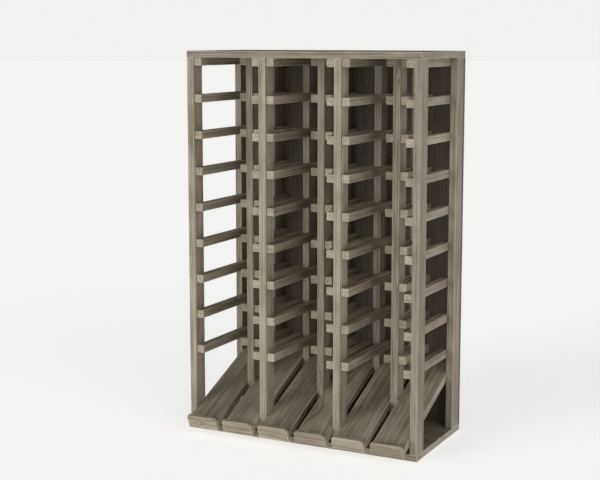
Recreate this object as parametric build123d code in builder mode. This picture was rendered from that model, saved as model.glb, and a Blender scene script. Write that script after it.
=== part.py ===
"""Free-standing wooden wine rack for 48 lying bottles, with six sloping display places at its foot.

Seven upright ladders, each a front post, a back post and short bottle rails, stand between a base
board and a top board. The ladders that stand between two outer ones are set back, so that the
necks of the bottles stay clear. A panel closes the back, and the sides are open.

Millimetres, +Z up, +Y to the back. The origin is the centre of the base board's underside.
"""

import os
from math import atan2, cos, sin

from build123d import *

# Bottle places
columns = 6
rows = 8
display_rows = 2  # row spacings that the display takes up at the foot
column_width = 90.0  # clear width between two ladders
row_pitch = 99.2  # from the top of one rail to the top of the next

# Frame
depth = 320.0  # front of the posts to the back of the panel
board_thickness = 18.0
panel_thickness = 10.0
post_width = 20.0
post_depth = 48.0
middle_setback = 130.0  # front of the posts to the front of the middle ladders' posts
edge_round = 2.0
board_round = 1.0

# Bottle rails
rail_width = 22.0
rail_height = 22.0
rail_setback = 5.0  # front of a post to the front end of its rails
rail_round = 1.2
rail_end_chamfer = 1.2

# Display boards and their lips
display_height = 59.5  # from the floor to a display board's top, measured in the posts' front plane
display_thickness = 18.0
display_headroom = 28.5  # from a display board's top, at the panel, up to the lowest rails
display_nose = 45.0  # how far a display board runs on past the posts, along its slope
display_gap = 0.25  # between a display board and the posts beside it
lip_thickness = 9.0
lip_rise = 15.0  # above the display board's top
lip_drop = 26.0  # below the display board's top
lip_corner = 10.0
lip_low_corner = 3.0
lip_round = 1.0

# Fastenings
fit_clearance = 0.1  # on the radius, between a dowel or a screw and its hole
hole_spare = 1.0  # how much deeper than its dowel or screw a blind hole is
dowel_radius = 4.0
dowel_in_rail = 15.0
dowel_in_side_post = 13.0
lip_dowel_radius = 2.5
lip_dowel_in_lip = 5.0
lip_dowel_in_board = 15.0
lip_dowel_spacing = 50.0
screw_radius = 2.0
screw_head_radius = 4.0
rail_screw_in_board = 12.0
rail_screw_inset = 45.0  # from a post's inner side to the nearest screw in a top rail
base_screw_in_post = 42.0
base_screw_inset = 10.0  # from a post's front or back to its screw
panel_screw_in_post = 20.0
panel_foot_row = 75.0  # from the base board to the lowest row of screws in the panel

# Worked out from the sizes above
ladder_pitch = column_width + post_width
width = columns * column_width + (columns + 1) * post_width
inner_height = (rows + display_rows) * row_pitch + rail_height
height = inner_height + 2 * board_thickness
front_y = -depth / 2
back_y = depth / 2
panel_y = back_y - panel_thickness
base_top = board_thickness
top_under = base_top + inner_height

back_post_y = panel_y - post_depth / 2
front_post_y = front_y + post_depth / 2
middle_post_y = front_post_y + middle_setback
rail_tops = [top_under - level * row_pitch for level in range(rows + 1)]
rail_centres = [rail_top - rail_height / 2 for rail_top in rail_tops]
dowel_hole_radius = dowel_radius + fit_clearance
screw_hole_radius = screw_radius + fit_clearance

display_rear_height = rail_tops[-1] - rail_height - display_headroom
slope_angle = atan2(display_rear_height - display_height, panel_y - front_y)
slope_cos = cos(slope_angle)
slope_sin = sin(slope_angle)


class Ladder:
    """Where one ladder stands: its middle in X, its posts in Y, and the sides that carry rails."""

    def __init__(self, index):
        self.name = f"ladder_{index + 1}"
        self.x = index * ladder_pitch - (width - post_width) / 2
        self.set_back = index % 2 == 1 and index < columns
        self.front_y = middle_post_y if self.set_back else front_post_y
        self.sides = [side for side in (-1, 1) if 0 <= index + side <= columns]
        self.rail_front = self.front_y - post_depth / 2 + rail_setback

    def post_ys(self):
        return [self.front_y, back_post_y]

    def rail_x(self, side):
        return self.x + side * (post_width + rail_width) / 2

    def rail_screw_ys(self):
        first = self.front_y + post_depth / 2 + rail_screw_inset
        last = back_post_y - post_depth / 2 - rail_screw_inset
        return [first, last] if last - first > 4 * screw_head_radius else [(first + last) / 2]


ladders = [Ladder(index) for index in range(columns + 1)]


def slope_point(along, above):
    """(Y, Z) at a distance along the display boards' slope from the posts' front plane."""
    return (
        front_y + along * slope_cos - above * slope_sin,
        display_height + along * slope_sin + above * slope_cos,
    )


def slope_middle_z(y):
    """Height of the display boards' mid-thickness over a place in Y."""
    return display_height + ((y - front_y) * slope_sin - display_thickness / 2) / slope_cos


def dowel_points(y):
    """(Y, Z) of each dowel through the post at y: one for each rail, one for the display boards."""
    return [(y, z) for z in rail_centres] + [(y, slope_middle_z(y))]


def base_screw_ys(y):
    reach = post_depth / 2 - base_screw_inset
    return [y - reach, y + reach]


def panel_screw_zs():
    """Heights of the screws through the back panel: one row at the foot, one in every other cell."""
    cell_middles = [(rail_tops[row + 1] + rail_tops[row] - rail_height) / 2 for row in range(0, rows, 2)]
    return [base_top + panel_foot_row] + cell_middles


def save(part, name):
    part.label = name
    export_step(part, f"parts/{name}.step")


os.makedirs("parts", exist_ok=True)

# ---------------------------------------------------------------- top, base and back

with BuildPart() as top_board:
    with BuildSketch(Plane.XY.offset(top_under)):
        Rectangle(width, depth)
    extrude(amount=board_thickness)
    fillet(top_board.edges(), board_round)
    for ladder in ladders:
        for side in ladder.sides:
            with BuildSketch(Plane.XY.offset(top_under)):
                with Locations(*[(ladder.rail_x(side), y) for y in ladder.rail_screw_ys()]):
                    Circle(screw_hole_radius)
            extrude(amount=rail_screw_in_board + hole_spare, mode=Mode.SUBTRACT)
save(top_board.part, "top_board")

with BuildPart() as base_board:
    with BuildSketch():
        Rectangle(width, depth)
    extrude(amount=board_thickness)
    fillet(base_board.edges(), board_round)
    for ladder in ladders:
        for post_y in ladder.post_ys():
            for screw_y in base_screw_ys(post_y):
                with Locations(Plane((ladder.x, screw_y, 0), z_dir=(0, 0, -1))):
                    CounterSinkHole(
                        screw_hole_radius, screw_head_radius + fit_clearance, counter_sink_angle=90
                    )
save(base_board.part, "base_board")

with BuildPart() as back_panel:
    with BuildSketch(Plane.XZ.offset(-back_y)):
        with Locations((0, base_top + inner_height / 2)):
            Rectangle(width, inner_height)
    extrude(amount=panel_thickness)
    for ladder in ladders:
        for screw_z in panel_screw_zs():
            with Locations(Plane((ladder.x, back_y, screw_z), z_dir=(0, 1, 0))):
                CounterSinkHole(
                    screw_hole_radius, screw_head_radius + fit_clearance, counter_sink_angle=90
                )
save(back_panel.part, "back_panel")

# ---------------------------------------------------------------- posts


def make_post(ladder, post_y):
    """One upright between the boards, drilled across for its dowels and up from below for its screws."""
    inner_face = ladder.x + ladder.sides[0] * post_width / 2
    drilled = post_width if len(ladder.sides) == 2 else dowel_in_side_post + hole_spare
    with BuildPart() as post:
        with BuildSketch(Plane.XY.offset(base_top)):
            with Locations((ladder.x, post_y)):
                Rectangle(post_width, post_depth)
        extrude(amount=inner_height)
        fillet(post.edges().filter_by(Axis.Z), edge_round)
        with BuildSketch(Plane.YZ.offset(inner_face)):
            with Locations(*dowel_points(post_y)):
                Circle(dowel_hole_radius)
        extrude(amount=-ladder.sides[0] * drilled, mode=Mode.SUBTRACT)
        with BuildSketch(Plane.XY.offset(base_top)):
            with Locations(*[(ladder.x, y) for y in base_screw_ys(post_y)]):
                Circle(screw_hole_radius)
        extrude(amount=base_screw_in_post + hole_spare, mode=Mode.SUBTRACT)
        if post_y == back_post_y:
            with BuildSketch(Plane.XZ.offset(-panel_y)):
                with Locations(*[(ladder.x, z) for z in panel_screw_zs()]):
                    Circle(screw_hole_radius)
            extrude(amount=panel_screw_in_post + hole_spare, mode=Mode.SUBTRACT)
    return post.part


for ladder in ladders:
    save(make_post(ladder, ladder.front_y), f"{ladder.name}_front_post")
    save(make_post(ladder, back_post_y), f"{ladder.name}_back_post")

# ---------------------------------------------------------------- bottle rails


def make_rails(ladder, side):
    """The rails on one side of a ladder, one under another; the top one also holds the top board."""
    post_face = ladder.x + side * post_width / 2
    rail_x = ladder.rail_x(side)
    with BuildPart() as rails:
        with BuildSketch(Plane.XZ.offset(-panel_y)):
            with Locations(*[(rail_x, z) for z in rail_centres]):
                Rectangle(rail_width, rail_height)
        extrude(amount=panel_y - ladder.rail_front)
        fillet(rails.edges().filter_by(Axis.Y), rail_round)
        front_faces = rails.faces().filter_by(Axis.Y).group_by(Axis.Y)[0]
        chamfer(front_faces.edges(), rail_end_chamfer)
        with BuildSketch(Plane.YZ.offset(post_face)):
            with Locations(*[(y, z) for y in ladder.post_ys() for z in rail_centres]):
                Circle(dowel_hole_radius)
        extrude(amount=side * (dowel_in_rail + hole_spare), mode=Mode.SUBTRACT)
        for screw_y in ladder.rail_screw_ys():
            with Locations(Plane((rail_x, screw_y, top_under - rail_height), z_dir=(0, 0, -1))):
                CounterSinkHole(
                    screw_hole_radius,
                    screw_head_radius + fit_clearance,
                    depth=rail_height,
                    counter_sink_angle=90,
                )
    return rails.part


for ladder in ladders:
    for side in ladder.sides:
        save(make_rails(ladder, side), f"{ladder.name}_{'left' if side < 0 else 'right'}_rails")

# ---------------------------------------------------------------- display boards and lips

display_width = column_width - 2 * display_gap
nose_y, nose_z = slope_point(-display_nose, 0)


def lip_plane(column):
    """The plane of a display board's front end, its X along the rack and its Y up the lip."""
    middle_x = (ladders[column].x + ladders[column + 1].x) / 2
    return Plane((middle_x, nose_y, nose_z), x_dir=(1, 0, 0), z_dir=(0, -slope_cos, -slope_sin))


def lip_dowel_points():
    return [(reach, -display_thickness / 2) for reach in (-lip_dowel_spacing / 2, lip_dowel_spacing / 2)]


def make_display_board(column):
    """A sloping board that a bottle lies on, between two ladders, up against the back panel."""
    left, right = ladders[column], ladders[column + 1]
    board_left = left.x + post_width / 2 + display_gap
    rise_to_panel = (panel_y - front_y) / slope_cos
    rear_top = slope_point(rise_to_panel, 0)
    rear_bottom = (panel_y, rear_top[1] - display_thickness / slope_cos)
    with BuildPart() as board:
        with BuildSketch(Plane.YZ.offset(board_left)):
            with BuildLine():
                Polyline(
                    slope_point(-display_nose, 0),
                    rear_top,
                    rear_bottom,
                    slope_point(-display_nose, -display_thickness),
                    close=True,
                )
            make_face()
        extrude(amount=display_width)
        for neighbour, face_x, inward in (
            (left, board_left, 1),
            (right, board_left + display_width, -1),
        ):
            with BuildSketch(Plane.YZ.offset(face_x)):
                with Locations(*[(y, slope_middle_z(y)) for y in neighbour.post_ys()]):
                    Circle(dowel_hole_radius)
            extrude(amount=inward * (dowel_in_rail + hole_spare), mode=Mode.SUBTRACT)
        with BuildSketch(lip_plane(column)):
            with Locations(*lip_dowel_points()):
                Circle(lip_dowel_radius + fit_clearance)
        extrude(amount=-(lip_dowel_in_board + hole_spare), mode=Mode.SUBTRACT)
    return board.part


def make_display_lip(column):
    """The stop at the front end of a display board, with its two top corners rounded."""
    with BuildPart() as lip:
        with BuildSketch(lip_plane(column)):
            with Locations((0, (lip_rise - lip_drop) / 2)):
                outline = Rectangle(display_width, lip_rise + lip_drop)
            fillet(outline.vertices().group_by(Axis.Y)[-1], lip_corner)
            fillet(outline.vertices().group_by(Axis.Y)[0], lip_low_corner)
        extrude(amount=lip_thickness)
        fillet(lip.faces().sort_by(Axis.Y)[0].edges(), lip_round)
        with BuildSketch(lip_plane(column)):
            with Locations(*lip_dowel_points()):
                Circle(lip_dowel_radius + fit_clearance)
        extrude(amount=lip_dowel_in_lip + hole_spare, mode=Mode.SUBTRACT)
    return lip.part


for column in range(columns):
    save(make_display_board(column), f"display_board_{column + 1}")
    save(make_display_lip(column), f"display_lip_{column + 1}")

# ---------------------------------------------------------------- dowels

with BuildPart() as side_dowels:
    for ladder in ladders:
        if len(ladder.sides) == 1:
            inward = ladder.sides[0]
            post_face = ladder.x + inward * post_width / 2
            with BuildSketch(Plane.YZ.offset(post_face - inward * dowel_in_side_post)):
                with Locations(*[point for y in ladder.post_ys() for point in dowel_points(y)]):
                    Circle(dowel_radius)
            extrude(amount=inward * (dowel_in_side_post + dowel_in_rail))
save(side_dowels.part, "side_dowels")

with BuildPart() as cross_dowels:
    for ladder in ladders:
        if len(ladder.sides) == 2:
            with BuildSketch(Plane.YZ.offset(ladder.x)):
                with Locations(*[point for y in ladder.post_ys() for point in dowel_points(y)]):
                    Circle(dowel_radius)
            extrude(amount=post_width / 2 + dowel_in_rail, both=True)
save(cross_dowels.part, "cross_dowels")

with BuildPart() as lip_dowels:
    for column in range(columns):
        with BuildSketch(lip_plane(column).offset(-lip_dowel_in_board)):
            with Locations(*lip_dowel_points()):
                Circle(lip_dowel_radius)
        extrude(amount=lip_dowel_in_board + lip_dowel_in_lip)
save(lip_dowels.part, "lip_dowels")

# ---------------------------------------------------------------- screws


def make_screws(head_planes, length):
    """Countersunk screws, each with its head flush in a plane whose normal points out of the wood."""
    head_height = screw_head_radius - screw_radius
    with BuildPart() as screws:
        with Locations(*head_planes):
            with Locations((0, 0, -head_height / 2)):
                Cone(screw_radius, screw_head_radius, head_height)
            with Locations((0, 0, -(head_height + length) / 2)):
                Cylinder(screw_radius, length - head_height)
    return screws.part


rail_screw_planes = [
    Plane((ladder.rail_x(side), y, top_under - rail_height), z_dir=(0, 0, -1))
    for ladder in ladders
    for side in ladder.sides
    for y in ladder.rail_screw_ys()
]
save(make_screws(rail_screw_planes, rail_height + rail_screw_in_board), "top_rail_screws")

base_screw_planes = [
    Plane((ladder.x, screw_y, 0), z_dir=(0, 0, -1))
    for ladder in ladders
    for post_y in ladder.post_ys()
    for screw_y in base_screw_ys(post_y)
]
save(make_screws(base_screw_planes, board_thickness + base_screw_in_post), "base_screws")

panel_screw_planes = [
    Plane((ladder.x, back_y, z), z_dir=(0, 1, 0)) for ladder in ladders for z in panel_screw_zs()
]
save(make_screws(panel_screw_planes, panel_thickness + panel_screw_in_post), "panel_screws")
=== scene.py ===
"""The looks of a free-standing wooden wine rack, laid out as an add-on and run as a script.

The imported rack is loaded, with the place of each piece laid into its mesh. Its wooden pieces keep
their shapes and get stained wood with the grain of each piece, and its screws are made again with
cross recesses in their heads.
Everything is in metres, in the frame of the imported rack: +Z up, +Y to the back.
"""

import math

import bmesh
import bpy
from mathutils import Matrix, Vector


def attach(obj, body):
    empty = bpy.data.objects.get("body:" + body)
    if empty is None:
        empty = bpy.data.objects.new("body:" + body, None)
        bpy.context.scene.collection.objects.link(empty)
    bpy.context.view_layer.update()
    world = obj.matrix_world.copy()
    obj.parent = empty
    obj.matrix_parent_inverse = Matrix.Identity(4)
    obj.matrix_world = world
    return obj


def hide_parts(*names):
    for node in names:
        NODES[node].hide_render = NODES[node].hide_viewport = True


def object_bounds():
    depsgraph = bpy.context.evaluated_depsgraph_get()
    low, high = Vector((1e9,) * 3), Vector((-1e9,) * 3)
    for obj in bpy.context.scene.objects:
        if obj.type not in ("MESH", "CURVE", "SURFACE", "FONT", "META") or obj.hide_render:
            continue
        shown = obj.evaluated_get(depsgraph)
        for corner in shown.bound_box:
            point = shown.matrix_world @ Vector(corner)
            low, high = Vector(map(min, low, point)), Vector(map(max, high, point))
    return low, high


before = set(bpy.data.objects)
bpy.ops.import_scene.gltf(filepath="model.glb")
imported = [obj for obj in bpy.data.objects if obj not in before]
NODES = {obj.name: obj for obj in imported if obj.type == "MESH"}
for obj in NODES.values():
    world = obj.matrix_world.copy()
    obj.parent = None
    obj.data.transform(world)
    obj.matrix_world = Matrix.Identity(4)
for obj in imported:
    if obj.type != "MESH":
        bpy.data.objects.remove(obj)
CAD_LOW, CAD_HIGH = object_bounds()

bl_info = {
    "name": "Wine Rack",
    "version": (1, 0, 0),
    "blender": (4, 5, 0),
    "location": "View3D > Sidebar > Wine Rack",
    "description": "Stained wood, screws and a studio for a free-standing wine rack",
    "category": "Object",
}

BODY = "root"
CENTRE = (CAD_LOW + CAD_HIGH) / 2

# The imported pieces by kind, in a fixed order
POSTS = [name for name in sorted(NODES) if name.endswith("_post")]
RAILS = [name for name in sorted(NODES) if name.endswith("_rails")]
DISPLAY_BOARDS = [name for name in sorted(NODES) if name.startswith("display_board_")]
DISPLAY_LIPS = [name for name in sorted(NODES) if name.startswith("display_lip_")]
DOWELS = [name for name in sorted(NODES) if name.endswith("_dowels")]

# Seeds of the grain for each kind of piece: the first piece's, and the step to the next
POST_SEEDS = (11.3, 5.21)
RAIL_SEEDS = (103.7, 41.3)
BOARD_SEEDS = (711.1, 6.7)
PANEL_SEED = 733.9
DISPLAY_BOARD_SEEDS = (811.3, 7.9)
DISPLAY_LIP_SEEDS = (907.7, 8.3)
DOWEL_SEEDS = (1001.9, 9.1)
LEVEL_SEED_STEP = 3.77  # from one rail of a stack to the next

# How far the pith may lie beside a piece, and how rough the surface is
PITH = 0.16
BOARD_PITH = 0.3
PANEL_PITH = 0.5
ROUGHNESS = 0.62
PANEL_ROUGHNESS = 0.66
DOWEL_ROUGHNESS = 0.7

# The two boards are toned down, as a share of the wood's colours: painted shade for the weaker light
# on their upward faces
BOARD_SHADE_TONES = (("top_board", 0.84), ("base_board", 0.94))

# How often each pattern of the wood repeats per metre: across, across, and along the grain
SWAY = (5.0, 5.0, 1.7)
RIPPLE = (60.0, 60.0, 6.0)
STREAKS = (190.0, 190.0, 2.2)
FIBRES = (900.0, 900.0, 16.0)
PORES = (1500.0, 1500.0, 60.0)
BLOTCHES = (26.0, 26.0, 9.0)
SWAY_REACH = 0.055
RIPPLE_REACH = 0.0022

# How much each feature darkens the wood
DARKENING = {"Rings": 0.50, "Streaks": 0.42, "Fibres": 0.16, "Pores": 0.22, "Blotches": 0.26}
END_PALER = 0.22
# Paler edges: a painted highlight of the light that the rounded edges catch
EDGE_HIGHLIGHT = 0.30

NO_STACK = 10.0  # a pitch above the rack's height, for nodes that aren't a stack of rails
LEVEL_SLACK = 0.002
RAIL_GAP = 0.03  # a step in height above this starts the next rail
RAIL_TOP_GAP = 0.01
NOSE_REACH = 0.012

HEAD_SIDES, SHANK_SIDES, CENTRE_SIDES = 28, 14, 12
SHANK_OVERLAP = 0.1  # share of the head's height
SHANK_SLIMMER = 0.995  # share of the shank's radius, so that it fits inside the head's small end
RECESS_TIP = 0.0003

# Bearing, elevation and spread in degrees, and tint
KEY_LIGHT = (-30, 11, 34, (1.0, 0.992, 0.975))
FILL_LIGHT = (62, 13, 50, (0.985, 0.992, 1.0))
LIGHT_DISTANCE = 3
HORIZON = (1.0, 0.995, 0.985, 1.0)
OVERHEAD = (0.40, 0.405, 0.41, 1.0)
BACKDROP = 0.88  # brightness of the surroundings as the camera sees them
GLOW_COLOUR = (1.0, 0.998, 0.99, 1.0)
FLOOR_RADIUS = 60.0
FLOOR_DROP = 0.0002

CAMERA_PLACE = (1.5158, -3.1581, 1.0829)
CAMERA_DOWN = 7.84  # degrees below the horizon
CAMERA_TURN = 26.77  # degrees to the left of straight ahead
CAMERA_SHIFT = -0.04
SENSOR_WIDTH = 36.0
FAR_CLIP = 300.0


# ---------------------------------------------------------------- sizes and colours


class RackWood(bpy.types.PropertyGroup):
    """The stained wood of the posts, rails and boards."""

    light: bpy.props.FloatVectorProperty(
        name="Light wood", description="Colour of the early wood between the growth rings",
        subtype="COLOR", size=3, min=0.0, max=1.0, default=(0.494, 0.439, 0.345),
    )
    dark: bpy.props.FloatVectorProperty(
        name="Dark wood", description="Colour of the late wood in the growth rings",
        subtype="COLOR", size=3, min=0.0, max=1.0, default=(0.150, 0.121, 0.085),
    )
    # The back panel's colours are its own darker wood, darkened further as painted shade for the deep
    # bays
    shaded_panel_light: bpy.props.FloatVectorProperty(
        name="Light panel", description="Colour of the back panel between its growth rings",
        subtype="COLOR", size=3, min=0.0, max=1.0, default=(0.180, 0.152, 0.113),
    )
    shaded_panel_dark: bpy.props.FloatVectorProperty(
        name="Dark panel", description="Colour of the growth rings of the back panel",
        subtype="COLOR", size=3, min=0.0, max=1.0, default=(0.086, 0.069, 0.049),
    )
    dowel_light: bpy.props.FloatVectorProperty(
        name="Light dowel", description="Colour of the plain dowels",
        subtype="COLOR", size=3, min=0.0, max=1.0, default=(0.60, 0.43, 0.26),
    )
    dowel_dark: bpy.props.FloatVectorProperty(
        name="Dark dowel", description="Colour of the growth rings of the dowels",
        subtype="COLOR", size=3, min=0.0, max=1.0, default=(0.40, 0.26, 0.14),
    )
    ring_width: bpy.props.FloatProperty(
        name="Ring width", description="Distance from one growth ring to the next",
        subtype="DISTANCE", unit="LENGTH", min=0.001, max=0.02, default=0.0052,
    )
    # The paler band along the edges is a painted highlight, standing in for the light that the
    # rounded edges catch
    edge_width: bpy.props.FloatProperty(
        name="Edge highlight", description="How far the paler wear reaches in from an edge",
        subtype="DISTANCE", unit="LENGTH", min=0.0005, max=0.01, default=0.0030,
    )
    tone_spread: bpy.props.FloatProperty(
        name="Tone spread", description="How much the pieces differ in lightness",
        subtype="FACTOR", min=0.0, max=0.5, default=0.13,
    )


class RackScrews(bpy.types.PropertyGroup):
    """The screw heads that show on the back, under the base and under the top rails."""

    recess_width: bpy.props.FloatProperty(
        name="Recess width", description="Width of each arm of the cross recess",
        subtype="DISTANCE", unit="LENGTH", min=0.0003, max=0.002, default=0.0009,
    )
    recess_depth: bpy.props.FloatProperty(
        name="Recess depth", description="Depth of the cross recess",
        subtype="DISTANCE", unit="LENGTH", min=0.0005, max=0.003, default=0.0014,
    )
    recess_span: bpy.props.FloatProperty(
        name="Recess span", description="Length of each arm's pair, as a share of the head",
        subtype="FACTOR", min=0.2, max=0.9, default=0.62,
    )
    zinc: bpy.props.FloatVectorProperty(
        name="Zinc", description="Colour of the zinc plating",
        subtype="COLOR", size=3, min=0.0, max=1.0, default=(0.62, 0.63, 0.64),
    )


class RackStudio(bpy.types.PropertyGroup):
    """The floor, the lights and the camera."""

    floor: bpy.props.FloatVectorProperty(
        name="Floor", description="Colour of the floor",
        subtype="COLOR", size=3, min=0.0, max=1.0, default=(0.88, 0.88, 0.875),
    )
    key: bpy.props.FloatProperty(
        name="Key light", description="Strength of the light from the front left",
        min=0.0, max=20.0, default=1.22,
    )
    fill: bpy.props.FloatProperty(
        name="Fill light", description="Strength of the light from the front right",
        min=0.0, max=20.0, default=0.80,
    )
    sky: bpy.props.FloatProperty(
        name="Surroundings", description="Strength of the even light from all round",
        min=0.0, max=5.0, default=0.34,
    )
    glow: bpy.props.FloatProperty(
        name="Floor glow", description="How much light the floor gives, besides what it reflects",
        min=0.0, max=2.0, default=0.62,
    )
    lens: bpy.props.FloatProperty(
        name="Lens", description="Focal length of the camera",
        unit="CAMERA", min=10.0, max=300.0, default=77.4,
    )


# ---------------------------------------------------------------- node helpers


class Tree:
    """Adds nodes to a node tree and joins them."""

    def __init__(self, tree):
        self.tree = tree

    def add(self, kind, inputs=None, **settings):
        node = self.tree.nodes.new(kind)
        for name, value in settings.items():
            setattr(node, name, value)
        for name, value in (inputs or {}).items():
            if isinstance(value, bpy.types.NodeSocket):
                self.tree.links.new(value, node.inputs[name])
            else:
                node.inputs[name].default_value = value
        return node

    def math(self, operation, *values, clamp=False):
        node = self.add("ShaderNodeMath", dict(enumerate(values)), operation=operation)
        node.use_clamp = clamp
        return node.outputs[0]

    def vector(self, operation, *values):
        if operation == "SCALE":
            inputs = {0: values[0], "Scale": values[1]}
            return self.add("ShaderNodeVectorMath", inputs, operation=operation).outputs[0]
        node = self.add("ShaderNodeVectorMath", dict(enumerate(values)), operation=operation)
        return node.outputs["Value" if operation in ("LENGTH", "DOT_PRODUCT") else "Vector"]

    def split(self, vector):
        return self.add("ShaderNodeSeparateXYZ", {0: vector}).outputs

    def join(self, x, y, z):
        return self.add("ShaderNodeCombineXYZ", {0: x, 1: y, 2: z}).outputs[0]

    def noise(self, vector, detail=2.0, roughness=0.5):
        node = self.add("ShaderNodeTexNoise", {
            "Vector": vector, "Scale": 1.0, "Detail": detail, "Roughness": roughness,
        })
        return node.outputs["Fac"]

    def step(self, value, low, high, to_low=0.0, to_high=1.0):
        return self.add("ShaderNodeMapRange", {
            "Value": value, "From Min": low, "From Max": high, "To Min": to_low, "To Max": to_high,
        }, interpolation_type="SMOOTHSTEP").outputs["Result"]

    def mix(self, factor, a, b):
        node = self.add("ShaderNodeMix", {0: factor, 6: a, 7: b}, data_type="RGBA")
        return node.outputs[2]


def new_group(name, kind, sockets):
    """A node group with sockets given as (name, "INPUT" or "OUTPUT", type, default or None)."""
    group = bpy.data.node_groups.new(name, kind)
    for label, direction, socket_type, default in sockets:
        socket = group.interface.new_socket(label, in_out=direction, socket_type=socket_type)
        if default is not None:
            socket.default_value = default
    tree = Tree(group)
    return group, tree, tree.add("NodeGroupInput").outputs, tree.add("NodeGroupOutput")


def colour(value):
    return (*value, 1.0)


# ---------------------------------------------------------------- shader groups


def solid_wood_group():
    """Wood as a solid: growth rings round a pith beside the piece, fibres, pores and blotches.

    The grain runs along Z of the vector that it is given.
    """
    group, t, given, out = new_group("Solid Wood", "ShaderNodeTree", [
        ("Vector", "INPUT", "NodeSocketVector", None),
        ("Seed", "INPUT", "NodeSocketFloat", 0.0),
        ("Ring Width", "INPUT", "NodeSocketFloat", 0.005),
        ("Pith Distance", "INPUT", "NodeSocketFloat", 0.10),
        ("Rings", "OUTPUT", "NodeSocketFloat", None),
        ("Streaks", "OUTPUT", "NodeSocketFloat", None),
        ("Fibres", "OUTPUT", "NodeSocketFloat", None),
        ("Pores", "OUTPUT", "NodeSocketFloat", None),
        ("Blotches", "OUTPUT", "NodeSocketFloat", None),
        ("Height", "OUTPUT", "NodeSocketFloat", None),
    ])
    seed = given["Seed"]
    moved = t.vector("ADD", given["Vector"], t.vector("SCALE", (1.37, 0.93, 0.61), seed))
    dice = t.add("ShaderNodeTexWhiteNoise", {"W": seed}, noise_dimensions="1D").outputs["Color"]
    pith = t.vector("SCALE", t.vector("SUBTRACT", dice, (0.5, 0.5, 0.5)), given["Pith Distance"])

    # The rings wander slowly along the piece, and a little faster across it
    sway_x = t.noise(t.vector("MULTIPLY", moved, SWAY))
    elsewhere = t.vector("ADD", moved, (31.0, 7.0, 3.0))
    sway_y = t.noise(t.vector("MULTIPLY", elsewhere, SWAY))
    ripple = t.noise(t.vector("MULTIPLY", moved, RIPPLE))
    x, y, _ = t.split(t.vector("SUBTRACT", given["Vector"], pith))
    x = t.math("MULTIPLY_ADD", sway_x, SWAY_REACH, x)
    y = t.math("MULTIPLY_ADD", sway_y, SWAY_REACH, y)
    radius = t.vector("LENGTH", t.join(x, y, 0.0))
    radius = t.math("MULTIPLY_ADD", ripple, RIPPLE_REACH, radius)
    turn = t.math("DIVIDE", radius, given["Ring Width"])
    uneven = t.add("ShaderNodeTexNoise", {"W": t.math("MULTIPLY", turn, 0.45), "Detail": 1.0},
                   noise_dimensions="1D").outputs["Fac"]
    phase = t.math("FRACT", t.math("MULTIPLY_ADD", uneven, 1.6, turn))
    late = t.math("MULTIPLY", t.step(phase, 0.30, 0.90), t.step(phase, 0.90, 1.0, 1.0, 0.0))
    rings = t.math("MULTIPLY", late, t.step(uneven, 0.30, 0.62, 0.45, 1.0))

    streaks = t.noise(t.vector("MULTIPLY", moved, STREAKS), 3.0, 0.6)
    streaks = t.step(streaks, 0.30, 0.72)
    fibres = t.noise(t.vector("MULTIPLY", moved, FIBRES), 3.0, 0.62)
    fibres = t.step(fibres, 0.30, 0.70)
    pores = t.step(t.noise(t.vector("MULTIPLY", moved, PORES), 1.0), 0.60, 0.72)
    blotches = t.step(t.noise(t.vector("MULTIPLY", moved, BLOTCHES), 3.0), 0.34, 0.68)

    height = t.math("MULTIPLY_ADD", rings, 0.45, t.math("MULTIPLY", fibres, 0.40))
    height = t.math("MULTIPLY_ADD", pores, -0.35, height)
    results = {"Rings": rings, "Streaks": streaks, "Fibres": fibres, "Pores": pores,
               "Blotches": blotches, "Height": height}
    for label, value in results.items():
        t.tree.links.new(value, out.inputs[label])
    return group


def edge_highlight_group():
    """A mask of the edges of a box, or of a stack of equal boxes that lie a pitch apart in Z, for the
    painted edge highlight.
    """
    group, t, given, out = new_group("Painted Edge Highlights", "ShaderNodeTree", [
        ("Vector", "INPUT", "NodeSocketVector", None),
        ("Low", "INPUT", "NodeSocketVector", None),
        ("High", "INPUT", "NodeSocketVector", None),
        ("Pitch", "INPUT", "NodeSocketFloat", 10.0),
        ("Width", "INPUT", "NodeSocketFloat", 0.003),
        ("Edge", "OUTPUT", "NodeSocketFloat", None),
        ("Level", "OUTPUT", "NodeSocketFloat", None),
    ])
    x, y, z = t.split(given["Vector"])
    # A little slack keeps a point on a box's lowest face in that box
    above = t.math("ADD", t.math("SUBTRACT", z, t.split(given["Low"])[2]), LEVEL_SLACK)
    level = t.math("FLOOR", t.math("DIVIDE", above, given["Pitch"]))
    local = t.join(x, y, t.math("SUBTRACT", z, t.math("MULTIPLY", level, given["Pitch"])))
    near = t.vector("MINIMUM", t.vector("SUBTRACT", local, given["Low"]),
                    t.vector("SUBTRACT", given["High"], local))
    a, b, c = t.split(near)
    least = t.math("MINIMUM", a, t.math("MINIMUM", b, c))
    most = t.math("MAXIMUM", a, t.math("MAXIMUM", b, c))
    middle = t.math("SUBTRACT", t.math("ADD", a, t.math("ADD", b, c)), t.math("ADD", least, most))
    rough = t.noise(t.vector("SCALE", given["Vector"], 70.0), 3.0, 0.6)
    reach = t.math("MULTIPLY", given["Width"], t.math("MULTIPLY_ADD", rough, 1.5, 0.25))
    edge = t.math("SUBTRACT", 1.0, t.step(t.math("DIVIDE", middle, reach), 0.35, 1.0))
    t.tree.links.new(edge, out.inputs["Edge"])
    t.tree.links.new(level, out.inputs["Level"])
    return group


def group_named(name, make):
    return bpy.data.node_groups.get(name) or make()


# ---------------------------------------------------------------- wood


def aligned_points(node, tilt):
    """A node's corners after a turn about X that lays a sloping piece level."""
    turn = Matrix.Rotation(-tilt, 3, "X")
    return [turn @ v.co for v in NODES[node].data.vertices]


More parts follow.
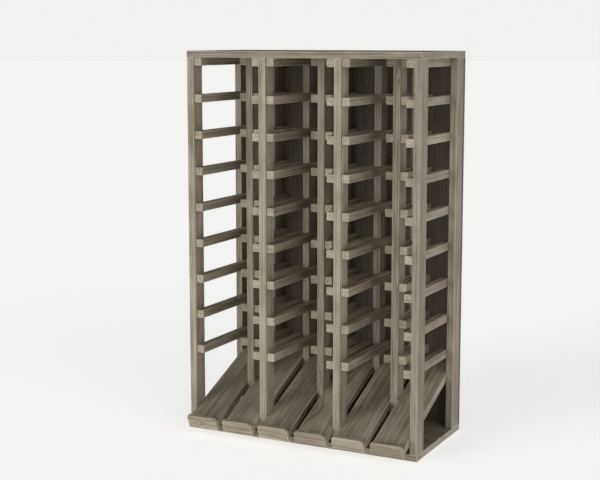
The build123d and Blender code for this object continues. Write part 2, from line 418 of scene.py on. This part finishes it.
def stack_of(node, tilt=0.0):
    """(low, high, pitch) of a node's lowest solid. The pitch is to the next solid above it."""
    points = aligned_points(node, tilt)
    low = Vector([min(p[i] for p in points) for i in range(3)])
    high = Vector([max(p[i] for p in points) for i in range(3)])
    if node not in RAILS:
        return low, high, NO_STACK
    heights = sorted({round(p[2], 4) for p in points})
    starts = [heights[0]] + [b for a, b in zip(heights, heights[1:]) if b - a > RAIL_GAP]
    first_top = max(h for h in heights if h < starts[1] - RAIL_TOP_GAP)
    return low, Vector((high[0], high[1], first_top)), (starts[-1] - starts[0]) / (len(starts) - 1)


def wood_material(node, grain, seed, light, dark, tilt=0.0, roughness=ROUGHNESS, pith=PITH):
    """Stained wood for one node: rings, streaks and fibres along the grain, paler at the edges as a
    painted highlight.
    """
    wood = bpy.context.scene.rack_wood
    material = bpy.data.materials.new(f"{node}_wood")
    material.use_nodes = True
    t = Tree(material.node_tree)
    shader = material.node_tree.nodes["Principled BSDF"]
    place = t.add("ShaderNodeTexCoord").outputs["Object"]
    low, high, pitch = stack_of(node, tilt)
    level_place = place
    if tilt:
        level_place = t.add("ShaderNodeMapping", {
            "Vector": place, "Rotation": (-tilt, 0, 0),
        }).outputs[0]

    # The edge mask carries the painted highlight along the edges of each piece
    edge_highlights = t.add("ShaderNodeGroup", node_tree=group_named("Painted Edge Highlights", edge_highlight_group))
    t.tree.links.new(level_place, edge_highlights.inputs["Vector"])
    edge_highlights.inputs["Low"].default_value = low
    edge_highlights.inputs["High"].default_value = high
    edge_highlights.inputs["Pitch"].default_value = pitch
    edge_highlights.inputs["Width"].default_value = wood.edge_width
    edge, level = edge_highlights.outputs["Edge"], edge_highlights.outputs["Level"]

    x, y, z = t.split(t.vector("SUBTRACT", level_place, low))
    along = {"X": (y, z, x), "Y": (z, x, y), "Z": (x, y, z)}[grain]
    grain_place = t.join(*along)
    piece_seed = t.math("MULTIPLY_ADD", level, LEVEL_SEED_STEP, seed)
    solid = t.add("ShaderNodeGroup", node_tree=group_named("Solid Wood", solid_wood_group))
    t.tree.links.new(grain_place, solid.inputs["Vector"])
    t.tree.links.new(piece_seed, solid.inputs["Seed"])
    solid.inputs["Ring Width"].default_value = wood.ring_width
    solid.inputs["Pith Distance"].default_value = pith
    part = solid.outputs

    # How dark the wood is at a point
    depth = 0.0
    for feature, weight in DARKENING.items():
        depth = t.math("MULTIPLY_ADD", part[feature], weight, depth)

    # The sawn ends are a little paler, and the edges are paler still, as a painted highlight of the
    # light that the rounded edges catch
    axis = {"X": (1, 0, 0), "Y": (0, math.cos(tilt), math.sin(tilt)), "Z": (0, 0, 1)}[grain]
    facing = t.vector("DOT_PRODUCT", t.add("ShaderNodeNewGeometry").outputs["Normal"], axis)
    end = t.step(t.math("ABSOLUTE", facing), 0.6, 0.95)
    depth = t.math("MULTIPLY_ADD", end, -END_PALER, depth)
    depth = t.math("MULTIPLY_ADD", edge, -EDGE_HIGHLIGHT, depth, clamp=True)

    stained = t.mix(depth, colour(light), colour(dark))
    dice = t.add("ShaderNodeTexWhiteNoise", {"W": t.math("ADD", piece_seed, 0.5)},
                 noise_dimensions="1D")
    chance = t.math("SUBTRACT", dice.outputs["Value"], 0.5)
    tone = t.math("MULTIPLY_ADD", chance, 2 * wood.tone_spread, 1.0)
    tint = t.add("ShaderNodeHueSaturation", {
        "Hue": 0.5, "Saturation": t.math("MULTIPLY_ADD", part["Blotches"], 0.16, 0.92),
        "Value": tone, "Color": stained,
    })
    t.tree.links.new(tint.outputs[0], shader.inputs["Base Color"])

    rough = t.math("MULTIPLY_ADD", part["Fibres"], 0.12, roughness)
    rough = t.math("MULTIPLY_ADD", part["Rings"], -0.07, rough)
    rough = t.math("MULTIPLY_ADD", edge, -0.06, rough)
    t.tree.links.new(rough, shader.inputs["Roughness"])
    shader.inputs["Specular IOR Level"].default_value = 0.35
    bump = t.add("ShaderNodeBump", {"Height": part["Height"], "Strength": 0.5, "Distance": 0.00035})
    t.tree.links.new(bump.outputs[0], shader.inputs["Normal"])
    return material


def seed_of(seeds, number):
    """The seed of the piece with this number among its kind."""
    first, step = seeds
    return first + step * number


def finish_node(node, material):
    """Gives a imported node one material, and leaves its shape as it is."""
    data = NODES[node].data
    data.materials.clear()
    data.materials.append(material)


def slope():
    """The angle of the display boards to the floor, from the length of their sides."""
    points = [v.co for v in NODES[DISPLAY_BOARDS[0]].data.vertices]
    top_rear = max(points, key=lambda p: (round(p.z, 5), p.y))
    front = min(p.y for p in points)
    top_nose = max((p for p in points if p.y < front + NOSE_REACH), key=lambda p: p.z)
    return math.atan2(top_rear.z - top_nose.z, top_rear.y - top_nose.y)


class FinishPosts(bpy.types.Operator):
    """Stains the fourteen posts, with the grain upright"""

    bl_idname = "wine_rack.finish_posts"
    bl_label = "Finish Posts"

    def execute(self, context):
        wood = context.scene.rack_wood
        for number, node in enumerate(POSTS):
            seed = seed_of(POST_SEEDS, number)
            finish_node(node, wood_material(node, "Z", seed, wood.light, wood.dark))
        return {"FINISHED"}


class FinishRails(bpy.types.Operator):
    """Stains the bottle rails from front to back, each one cut from its own place"""

    bl_idname = "wine_rack.finish_rails"
    bl_label = "Finish Rails"

    def execute(self, context):
        wood = context.scene.rack_wood
        for number, node in enumerate(RAILS):
            seed = seed_of(RAIL_SEEDS, number)
            finish_node(node, wood_material(node, "Y", seed, wood.light, wood.dark))
        return {"FINISHED"}


class FinishBoards(bpy.types.Operator):
    """Stains the top and base boards from side to side, and the back panel upright"""

    bl_idname = "wine_rack.finish_boards"
    bl_label = "Finish Boards and Panel"

    def execute(self, context):
        wood = context.scene.rack_wood
        # Each board's colours are darkened by its share as painted shade for its upward faces
        for number, (node, share) in enumerate(BOARD_SHADE_TONES):
            light, dark = (tuple(share * c for c in tone) for tone in (wood.light, wood.dark))
            seed = seed_of(BOARD_SEEDS, number)
            finish_node(node, wood_material(node, "X", seed, light, dark, pith=BOARD_PITH))
        # The panel's colours include painted shade for the deep bays
        panel = wood_material("back_panel", "Z", PANEL_SEED, wood.shaded_panel_light, wood.shaded_panel_dark,
                              roughness=PANEL_ROUGHNESS, pith=PANEL_PITH)
        finish_node("back_panel", panel)
        return {"FINISHED"}


class FinishDisplay(bpy.types.Operator):
    """Stains the sloping display boards along their slope, and their lips from side to side"""

    bl_idname = "wine_rack.finish_display"
    bl_label = "Finish Display Boards"

    def execute(self, context):
        wood = context.scene.rack_wood
        tilt = slope()
        for number, node in enumerate(DISPLAY_BOARDS):
            seed = seed_of(DISPLAY_BOARD_SEEDS, number)
            finish_node(node, wood_material(node, "Y", seed, wood.light, wood.dark, tilt=tilt))
        for number, node in enumerate(DISPLAY_LIPS):
            seed = seed_of(DISPLAY_LIP_SEEDS, number)
            finish_node(node, wood_material(node, "X", seed, wood.light, wood.dark, tilt=tilt))
        return {"FINISHED"}


class FinishDowels(bpy.types.Operator):
    """Gives the hidden dowels a plain hardwood, with the grain along them"""

    bl_idname = "wine_rack.finish_dowels"
    bl_label = "Finish Dowels"

    def execute(self, context):
        wood = context.scene.rack_wood
        for number, node in enumerate(DOWELS):
            grain = "Y" if node == "lip_dowels" else "X"
            dowel = wood_material(node, grain, seed_of(DOWEL_SEEDS, number), wood.dowel_light,
                                  wood.dowel_dark, roughness=DOWEL_ROUGHNESS)
            finish_node(node, dowel)
        return {"FINISHED"}


# ---------------------------------------------------------------- screws


def solid_boxes(node):
    """(low, high) of each separate solid of a node, in a fixed order."""
    mesh = bmesh.new()
    mesh.from_mesh(NODES[node].data)
    bmesh.ops.remove_doubles(mesh, verts=mesh.verts, dist=1e-6)
    boxes, seen = [], set()
    for start in mesh.verts:
        if start in seen:
            continue
        seen.add(start)
        waiting, island = [start], []
        while waiting:
            vert = waiting.pop()
            island.append(vert.co.copy())
            for edge in vert.link_edges:
                other = edge.other_vert(vert)
                if other not in seen:
                    seen.add(other)
                    waiting.append(other)
        boxes.append((Vector([min(p[i] for p in island) for i in range(3)]),
                      Vector([max(p[i] for p in island) for i in range(3)])))
    mesh.free()
    return sorted(boxes, key=lambda box: tuple(round(c, 4) for c in box[0]))


def screw_tree():
    """Countersunk screws with cross recesses, one at each point, turned by chance."""
    tree, t, given, out = new_group("Countersunk Screws", "GeometryNodeTree", [
        ("Geometry", "INPUT", "NodeSocketGeometry", None),
        ("Head Radius", "INPUT", "NodeSocketFloat", 0.004),
        ("Head Height", "INPUT", "NodeSocketFloat", 0.002),
        ("Shank Radius", "INPUT", "NodeSocketFloat", 0.002),
        ("Length", "INPUT", "NodeSocketFloat", 0.03),
        ("Recess Span", "INPUT", "NodeSocketFloat", 0.005),
        ("Recess Width", "INPUT", "NodeSocketFloat", 0.0009),
        ("Recess Depth", "INPUT", "NodeSocketFloat", 0.0014),
        ("Direction", "INPUT", "NodeSocketRotation", None),
        ("Seed", "INPUT", "NodeSocketInt", 7),
        ("Finish", "INPUT", "NodeSocketMaterial", None),
        ("Geometry", "OUTPUT", "NodeSocketGeometry", None),
    ])

    def lowered(geometry, drop):
        shift = t.join(0.0, 0.0, t.math("MULTIPLY", drop, -1.0))
        return t.add("GeometryNodeTransform", {
            "Geometry": geometry, "Translation": shift,
        }).outputs[0]

    head = t.add("GeometryNodeMeshCone", {
        "Vertices": HEAD_SIDES, "Radius Top": given["Head Radius"],
        "Radius Bottom": given["Shank Radius"], "Depth": given["Head Height"],
    }).outputs["Mesh"]
    head = lowered(head, given["Head Height"])
    arm_height = t.math("MULTIPLY", given["Recess Depth"], 2.0)
    arm = t.add("GeometryNodeMeshCube", {
        "Size": t.join(given["Recess Span"], given["Recess Width"], arm_height),
    }).outputs["Mesh"]
    crossing = t.add("GeometryNodeTransform", {
        "Geometry": arm, "Rotation": (0, 0, math.pi / 2),
    }).outputs[0]
    centre = t.add("GeometryNodeMeshCone", {
        "Vertices": CENTRE_SIDES, "Radius Top": t.math("MULTIPLY", given["Recess Width"], 1.1),
        "Radius Bottom": RECESS_TIP, "Depth": t.math("MULTIPLY", given["Recess Depth"], 1.25),
    }).outputs["Mesh"]
    centre = lowered(centre, t.math("MULTIPLY", given["Recess Depth"], 1.24))
    # The shank runs a little way up into the head, so that the two join into one solid
    overlap = t.math("MULTIPLY", given["Head Height"], SHANK_OVERLAP)
    below_head = t.math("SUBTRACT", given["Length"], given["Head Height"])
    shank_length = t.math("ADD", below_head, overlap)
    shank = t.add("GeometryNodeMeshCylinder", {
        "Vertices": SHANK_SIDES, "Radius": t.math("MULTIPLY", given["Shank Radius"], SHANK_SLIMMER),
        "Depth": shank_length,
    }).outputs["Mesh"]
    half_shank = t.math("MULTIPLY", shank_length, 0.5)
    shank = lowered(shank, t.math("SUBTRACT", given["Length"], half_shank))
    whole = t.add("GeometryNodeMeshBoolean", operation="UNION", solver="EXACT")
    for piece in (shank, head):
        t.tree.links.new(piece, whole.inputs["Mesh 2"])
    screw = t.add("GeometryNodeMeshBoolean", {"Mesh 1": whole.outputs["Mesh"]},
                  operation="DIFFERENCE", solver="EXACT")
    for cutter in (centre, crossing, arm):
        t.tree.links.new(cutter, screw.inputs["Mesh 2"])

    spin = t.add("FunctionNodeRandomValue", {"Max": 2 * math.pi, "Seed": given["Seed"]},
                 data_type="FLOAT")
    angle = next(output for output in spin.outputs if output.enabled)
    twist = t.add("FunctionNodeAxisAngleToRotation", {"Axis": (0, 0, 1), "Angle": angle}).outputs[0]
    turned = t.add("FunctionNodeRotateRotation", {
        "Rotation": given["Direction"], "Rotate By": twist,
    }, rotation_space="LOCAL").outputs[0]
    placed = t.add("GeometryNodeInstanceOnPoints", {
        "Points": given["Geometry"], "Instance": screw.outputs[0], "Rotation": turned,
    }).outputs[0]
    real = t.add("GeometryNodeRealizeInstances", {"Geometry": placed}).outputs[0]
    done = t.add("GeometryNodeSetMaterial", {
        "Geometry": real, "Material": given["Finish"],
    }).outputs[0]
    t.tree.links.new(done, out.inputs["Geometry"])
    return tree


def zinc_material():
    """Zinc-plated steel, slightly cloudy and finely scratched."""
    material = bpy.data.materials.get("zinc_plating")
    if material:
        return material
    material = bpy.data.materials.new("zinc_plating")
    material.use_nodes = True
    t = Tree(material.node_tree)
    shader = material.node_tree.nodes["Principled BSDF"]
    place = t.add("ShaderNodeTexCoord").outputs["Object"]
    clouds = t.step(t.noise(t.vector("SCALE", place, 900.0), 3.0, 0.6), 0.3, 0.7)
    fine_place = t.vector("MULTIPLY", place, (9000.0, 9000.0, 1500.0))
    scratches = t.step(t.noise(fine_place, 2.0), 0.35, 0.7)
    zinc = bpy.context.scene.rack_screws.zinc
    dull = tuple(c * 0.62 for c in zinc)
    t.tree.links.new(t.mix(clouds, colour(zinc), colour(dull)), shader.inputs["Base Color"])
    t.tree.links.new(t.math("MULTIPLY_ADD", scratches, 0.18, 0.27), shader.inputs["Roughness"])
    shader.inputs["Metallic"].default_value = 1.0
    bump = t.add("ShaderNodeBump", {"Height": scratches, "Strength": 0.25, "Distance": 0.00005})
    t.tree.links.new(bump.outputs[0], shader.inputs["Normal"])
    return material


def make_screws(node, name, facing):
    """Makes one node's screws again. Facing is the way that their heads look: "+Y" or "-Z"."""
    sizes = bpy.context.scene.rack_screws
    boxes = solid_boxes(node)
    low, high = boxes[0]
    if facing == "+Y":
        direction = (-math.pi / 2, 0, 0)
        heads = [((a.x + b.x) / 2, b.y, (a.z + b.z) / 2) for a, b in boxes]
        radius, length = (high.x - low.x) / 2, high.y - low.y
    else:
        direction = (math.pi, 0, 0)
        heads = [((a.x + b.x) / 2, (a.y + b.y) / 2, a.z) for a, b in boxes]
        radius, length = (high.x - low.x) / 2, high.z - low.z
    points = bpy.data.meshes.new(f"{name}_points")
    points.from_pydata(heads, [], [])
    holder = bpy.data.objects.new(f"{name}_holder", points)
    bpy.context.scene.collection.objects.link(holder)
    modifier = holder.modifiers.new("Screws", "NODES")
    tree = bpy.data.node_groups.get("Countersunk Screws") or screw_tree()
    modifier.node_group = tree
    values = {
        "Head Radius": radius, "Head Height": radius / 2, "Shank Radius": radius / 2,
        "Length": length, "Recess Span": 2 * radius * sizes.recess_span,
        "Recess Width": sizes.recess_width, "Recess Depth": sizes.recess_depth,
        "Direction": direction, "Finish": zinc_material(),
    }
    for item in tree.interface.items_tree:
        if item.item_type == "SOCKET" and item.in_out == "INPUT" and item.name in values:
            modifier[item.identifier] = values[item.name]
    bpy.context.view_layer.update()
    evaluated = holder.evaluated_get(bpy.context.evaluated_depsgraph_get())
    mesh = bpy.data.meshes.new_from_object(evaluated)
    bpy.data.objects.remove(holder)
    if not mesh.polygons:
        raise RuntimeError(f"{name}: the screws came out empty")
    mesh.name = name
    mesh.materials.clear()
    mesh.materials.append(zinc_material())
    piece = bpy.data.objects.new(name, mesh)
    bpy.context.scene.collection.objects.link(piece)
    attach(piece, BODY)
    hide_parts(node)
    return piece


class PlaceScrews(bpy.types.Operator):
    """Makes the screws of the back panel, the base board and the top rails, with cross recesses"""

    bl_idname = "wine_rack.place_screws"
    bl_label = "Place Screws"

    def execute(self, context):
        make_screws("panel_screws", "panel_screw_set", "+Y")
        make_screws("base_screws", "base_screw_set", "-Z")
        make_screws("top_rail_screws", "top_rail_screw_set", "-Z")
        return {"FINISHED"}


# ---------------------------------------------------------------- studio


def floor_material():
    """A plain pale floor with a very faint mottling."""
    studio = bpy.context.scene.rack_studio
    material = bpy.data.materials.new("studio_floor")
    material.use_nodes = True
    t = Tree(material.node_tree)
    shader = material.node_tree.nodes["Principled BSDF"]
    place = t.add("ShaderNodeTexCoord").outputs["Object"]
    mottle = t.noise(t.vector("SCALE", place, 3.0), 3.0)
    darker = tuple(c * 0.985 for c in studio.floor)
    mottled = t.mix(mottle, colour(studio.floor), colour(darker))
    t.tree.links.new(mottled, shader.inputs["Base Color"])
    shader.inputs["Roughness"].default_value = 1.0
    shader.inputs["Specular IOR Level"].default_value = 0.0
    shader.inputs["Emission Color"].default_value = GLOW_COLOUR
    shader.inputs["Emission Strength"].default_value = studio.glow
    return material


def add_sun(name, strength, bearing, elevation, spread, tint):
    """A far soft light. Bearing 0 comes from straight in front, and grows towards the right."""
    data = bpy.data.lights.new(name, "SUN")
    data.energy = strength
    data.angle = math.radians(spread)
    data.color = tint
    light = bpy.data.objects.new(name, data)
    b, e = math.radians(bearing), math.radians(elevation)
    source = Vector((math.sin(b) * math.cos(e), -math.cos(b) * math.cos(e), math.sin(e)))
    light.rotation_mode = "QUATERNION"
    light.rotation_quaternion = source.to_track_quat("Z", "Y")
    light.location = CENTRE + source * LIGHT_DISTANCE
    bpy.context.scene.collection.objects.link(light)


def set_world(strength):
    """Even light from all round, weaker from above; the camera sees it brighter than it shines."""
    world = bpy.data.worlds.new("studio_surroundings")
    bpy.context.scene.world = world
    world.use_nodes = True
    t = Tree(world.node_tree)
    background = world.node_tree.nodes["Background"]
    up = t.split(t.add("ShaderNodeTexCoord").outputs["Generated"])[2]
    share = t.step(up, 0.0, 0.9)
    sky = t.mix(share, HORIZON, OVERHEAD)
    t.tree.links.new(sky, background.inputs["Color"])
    seen = t.add("ShaderNodeLightPath").outputs["Is Camera Ray"]
    t.tree.links.new(t.add("ShaderNodeMapRange", {
        "Value": seen, "To Min": strength, "To Max": BACKDROP,
    }).outputs["Result"], background.inputs["Strength"])


class SetStage(bpy.types.Operator):
    """Lays the floor, sets the soft lights and places the camera"""

    bl_idname = "wine_rack.set_stage"
    bl_label = "Set Stage"

    def execute(self, context):
        studio = context.scene.rack_studio
        mesh = bmesh.new()
        bmesh.ops.create_circle(mesh, cap_ends=True, segments=96, radius=FLOOR_RADIUS)
        data = bpy.data.meshes.new("studio_floor")
        mesh.to_mesh(data)
        mesh.free()
        data.transform(Matrix.Translation((0, 0, CAD_LOW.z - FLOOR_DROP)))
        data.materials.append(floor_material())
        floor = bpy.data.objects.new("studio_floor", data)
        context.scene.collection.objects.link(floor)

        add_sun("key_light", studio.key, *KEY_LIGHT)
        add_sun("fill_light", studio.fill, *FILL_LIGHT)
        set_world(studio.sky)
        context.scene.view_settings.view_transform = "Standard"

        lens = bpy.data.cameras.new("rack_camera")
        lens.lens = studio.lens
        lens.sensor_width = SENSOR_WIDTH
        lens.shift_y = CAMERA_SHIFT
        lens.clip_end = FAR_CLIP
        camera = bpy.data.objects.new("rack_camera", lens)
        camera.location = CAMERA_PLACE
        camera.rotation_euler = (
            math.radians(90 - CAMERA_DOWN), 0.0, math.radians(CAMERA_TURN),
        )
        context.scene.collection.objects.link(camera)
        context.scene.camera = camera
        return {"FINISHED"}


# ---------------------------------------------------------------- panel and registration


STEPS = (FinishPosts, FinishRails, FinishBoards, FinishDisplay, FinishDowels, PlaceScrews, SetStage)


class RackPanel(bpy.types.Panel):
    """Lists the steps that finish the rack, and its sizes and colours"""

    bl_idname = "VIEW3D_PT_wine_rack"
    bl_label = "Wine Rack"
    bl_space_type = "VIEW_3D"
    bl_region_type = "UI"
    bl_category = "Wine Rack"

    def draw(self, context):
        for step in STEPS:
            self.layout.operator(step.bl_idname)
        scene = context.scene
        for group in (scene.rack_wood, scene.rack_screws, scene.rack_studio):
            box = self.layout.box()
            for name in group.bl_rna.properties.keys():
                if name not in ("rna_type", "name"):
                    box.prop(group, name)


CLASSES = (RackWood, RackScrews, RackStudio, *STEPS, RackPanel)


def register():
    for cls in CLASSES:
        bpy.utils.register_class(cls)
    bpy.types.Scene.rack_wood = bpy.props.PointerProperty(type=RackWood)
    bpy.types.Scene.rack_screws = bpy.props.PointerProperty(type=RackScrews)
    bpy.types.Scene.rack_studio = bpy.props.PointerProperty(type=RackStudio)


def unregister():
    del bpy.types.Scene.rack_studio
    del bpy.types.Scene.rack_screws
    del bpy.types.Scene.rack_wood
    for cls in reversed(CLASSES):
        bpy.utils.unregister_class(cls)


def main():
    register()
    bpy.ops.wine_rack.finish_posts()
    bpy.ops.wine_rack.finish_rails()
    bpy.ops.wine_rack.finish_boards()
    bpy.ops.wine_rack.finish_display()
    bpy.ops.wine_rack.finish_dowels()
    bpy.ops.wine_rack.place_screws()
    bpy.ops.wine_rack.set_stage()


if __name__ == "__main__":
    main()
